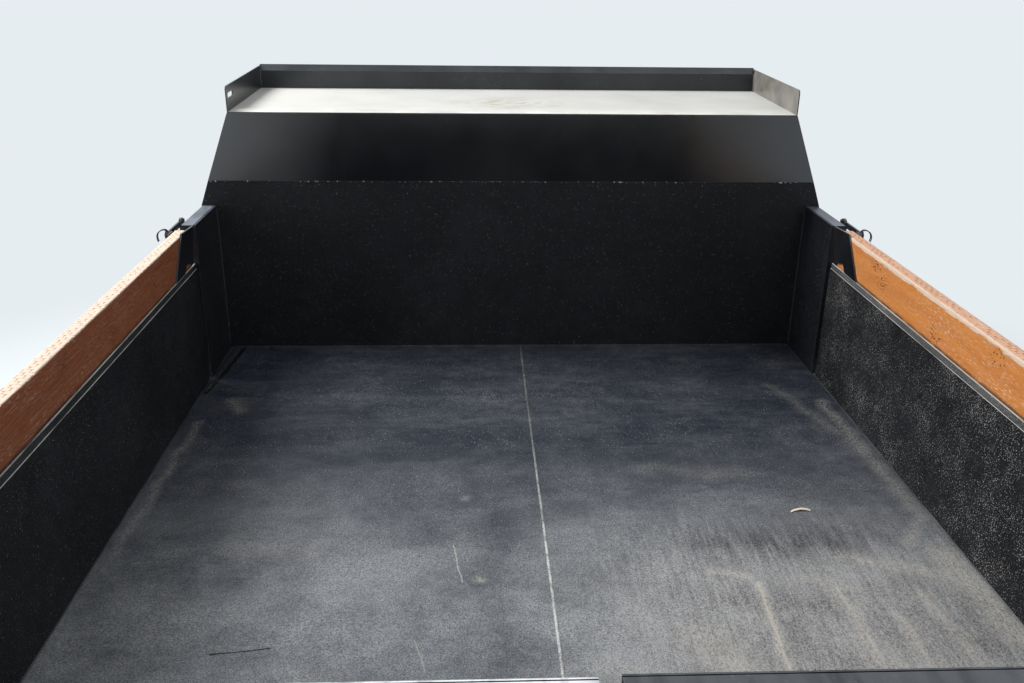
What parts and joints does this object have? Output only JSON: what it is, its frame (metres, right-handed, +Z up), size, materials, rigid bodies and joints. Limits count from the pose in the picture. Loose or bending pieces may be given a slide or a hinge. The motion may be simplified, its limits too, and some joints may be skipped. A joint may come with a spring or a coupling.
{
  "type": "truck dump body",
  "caption": "Steel dump body for a light truck, with cab shield, fold-down sides under timber boards, a two-leaf tailgate, and a sub-frame with hinge and telescopic hoist.",
  "frame": {"origin": "middle of the whole footprint, on the floor under the sub-frame's rails", "axes": "+Y forward to the cab shield, +X to the body's right side, +Z up"},
  "size_m": [2.344, 3.1206, 1.2893],
  "materials": {
    "bedliner": "sprayed charcoal bed liner, finely textured, dusty and worn to grey",
    "black_paint": "semi-gloss black paint, dusty",
    "board_wood": "orange-brown treated lumber with slit rows, weathered",
    "zinc": "dull plated steel",
    "strip_rubber": "hard black rubber",
    "lamp_lens": "red lens",
    "rod_chrome": "hard chrome, oiled"
  },
  "bodies": {
    "subframe": {"subframe_rails": "black_paint", "subframe_crossmembers": "black_paint", "mounting_clips": "black_paint", "rest_strips": "strip_rubber", "rear_hinge_mount": "black_paint", "hoist_base": "black_paint"},
    "bed": {"floor_left": "bedliner", "floor_right": "bedliner", "bed_sills": "black_paint", "bed_crossmembers": "black_paint", "edge_rails": "black_paint", "bed_hinge_lugs": "black_paint", "hoist_head_bracket": "black_paint", "rear_bolster": "black_paint", "rear_lamps": "lamp_lens", "headboard_lower": "bedliner", "headboard_upper": "black_paint", "headboard_ribs": "black_paint", "cab_shield": "black_paint", "shield_gussets": "black_paint", "front_posts": "bedliner", "rear_posts": "bedliner", "side_hinges": "black_paint", "leaf_hinges": "black_paint"},
    "side_right": {"side_gate_right": "bedliner", "gate_board_right": "board_wood", "board_pockets_right": "black_paint", "gate_latches_right": "zinc"},
    "side_left": {"side_gate_left": "bedliner", "gate_board_left": "board_wood", "board_pockets_left": "black_paint", "gate_latches_left": "zinc"},
    "leaf_right": {"tail_leaf_right": "bedliner", "leaf_lock_right": "zinc"},
    "leaf_left": {"tail_leaf_left": "bedliner", "leaf_lock_left": "zinc"},
    "hoist_barrel": {"hoist_barrel": "black_paint"},
    "hoist_stage_1": {"hoist_stage_1": "rod_chrome"},
    "hoist_stage_2": {"hoist_stage_2": "rod_chrome"},
    "hoist_rod": {"hoist_rod": "rod_chrome"}
  },
  "joints": [
    {"name": "bed_tip", "type": "hinge", "parent": "subframe", "child": "bed", "pos_m": [0, -1.40126, 0.075], "axis": [1, 0, 0], "range_deg": [0, 45]},
    {"name": "hoist_swing", "type": "hinge", "parent": "subframe", "child": "hoist_barrel", "pos_m": [0, -0.65126, 0.066], "axis": [1, 0, 0], "range_deg": [-11.85, 0]},
    {"name": "hoist_slide_1", "type": "slide", "parent": "hoist_barrel", "child": "hoist_stage_1", "axis": [0, -0.9482, 0.3176], "range_m": [0, 0.08794]},
    {"name": "hoist_slide_2", "type": "slide", "parent": "hoist_stage_1", "child": "hoist_stage_2", "axis": [0, -0.9482, 0.3176], "range_m": [0, 0.08794]},
    {"name": "hoist_slide_3", "type": "slide", "parent": "hoist_stage_2", "child": "hoist_rod", "axis": [0, -0.9482, 0.3176], "range_m": [0, 0.08794]},
    {"name": "side_right_fold", "type": "hinge", "parent": "bed", "child": "side_right", "pos_m": [1.134, -0.36327, 0.3041], "axis": [0, 1, 0], "range_deg": [0, 180]},
    {"name": "side_left_fold", "type": "hinge", "parent": "bed", "child": "side_left", "pos_m": [-1.134, -0.36327, 0.3041], "axis": [0, -1, 0], "range_deg": [0, 180]},
    {"name": "leaf_right_swing", "type": "hinge", "parent": "bed", "child": "leaf_right", "pos_m": [1.158, -1.52527, 0.5861], "axis": [0, 0, 1], "range_deg": [0, 270]},
    {"name": "leaf_left_swing", "type": "hinge", "parent": "bed", "child": "leaf_left", "pos_m": [-1.158, -1.52527, 0.5861], "axis": [0, 0, -1], "range_deg": [0, 270]}
  ],
  "couplings": [
    {"joint": "hoist_swing", "follows": "bed_tip", "ratio": -0.26109},
    {"joint": "hoist_slide_1", "follows": "bed_tip", "m_per_rad": 0.11134},
    {"joint": "hoist_slide_2", "follows": "bed_tip", "m_per_rad": 0.11134},
    {"joint": "hoist_slide_3", "follows": "bed_tip", "m_per_rad": 0.11134}
  ]
}
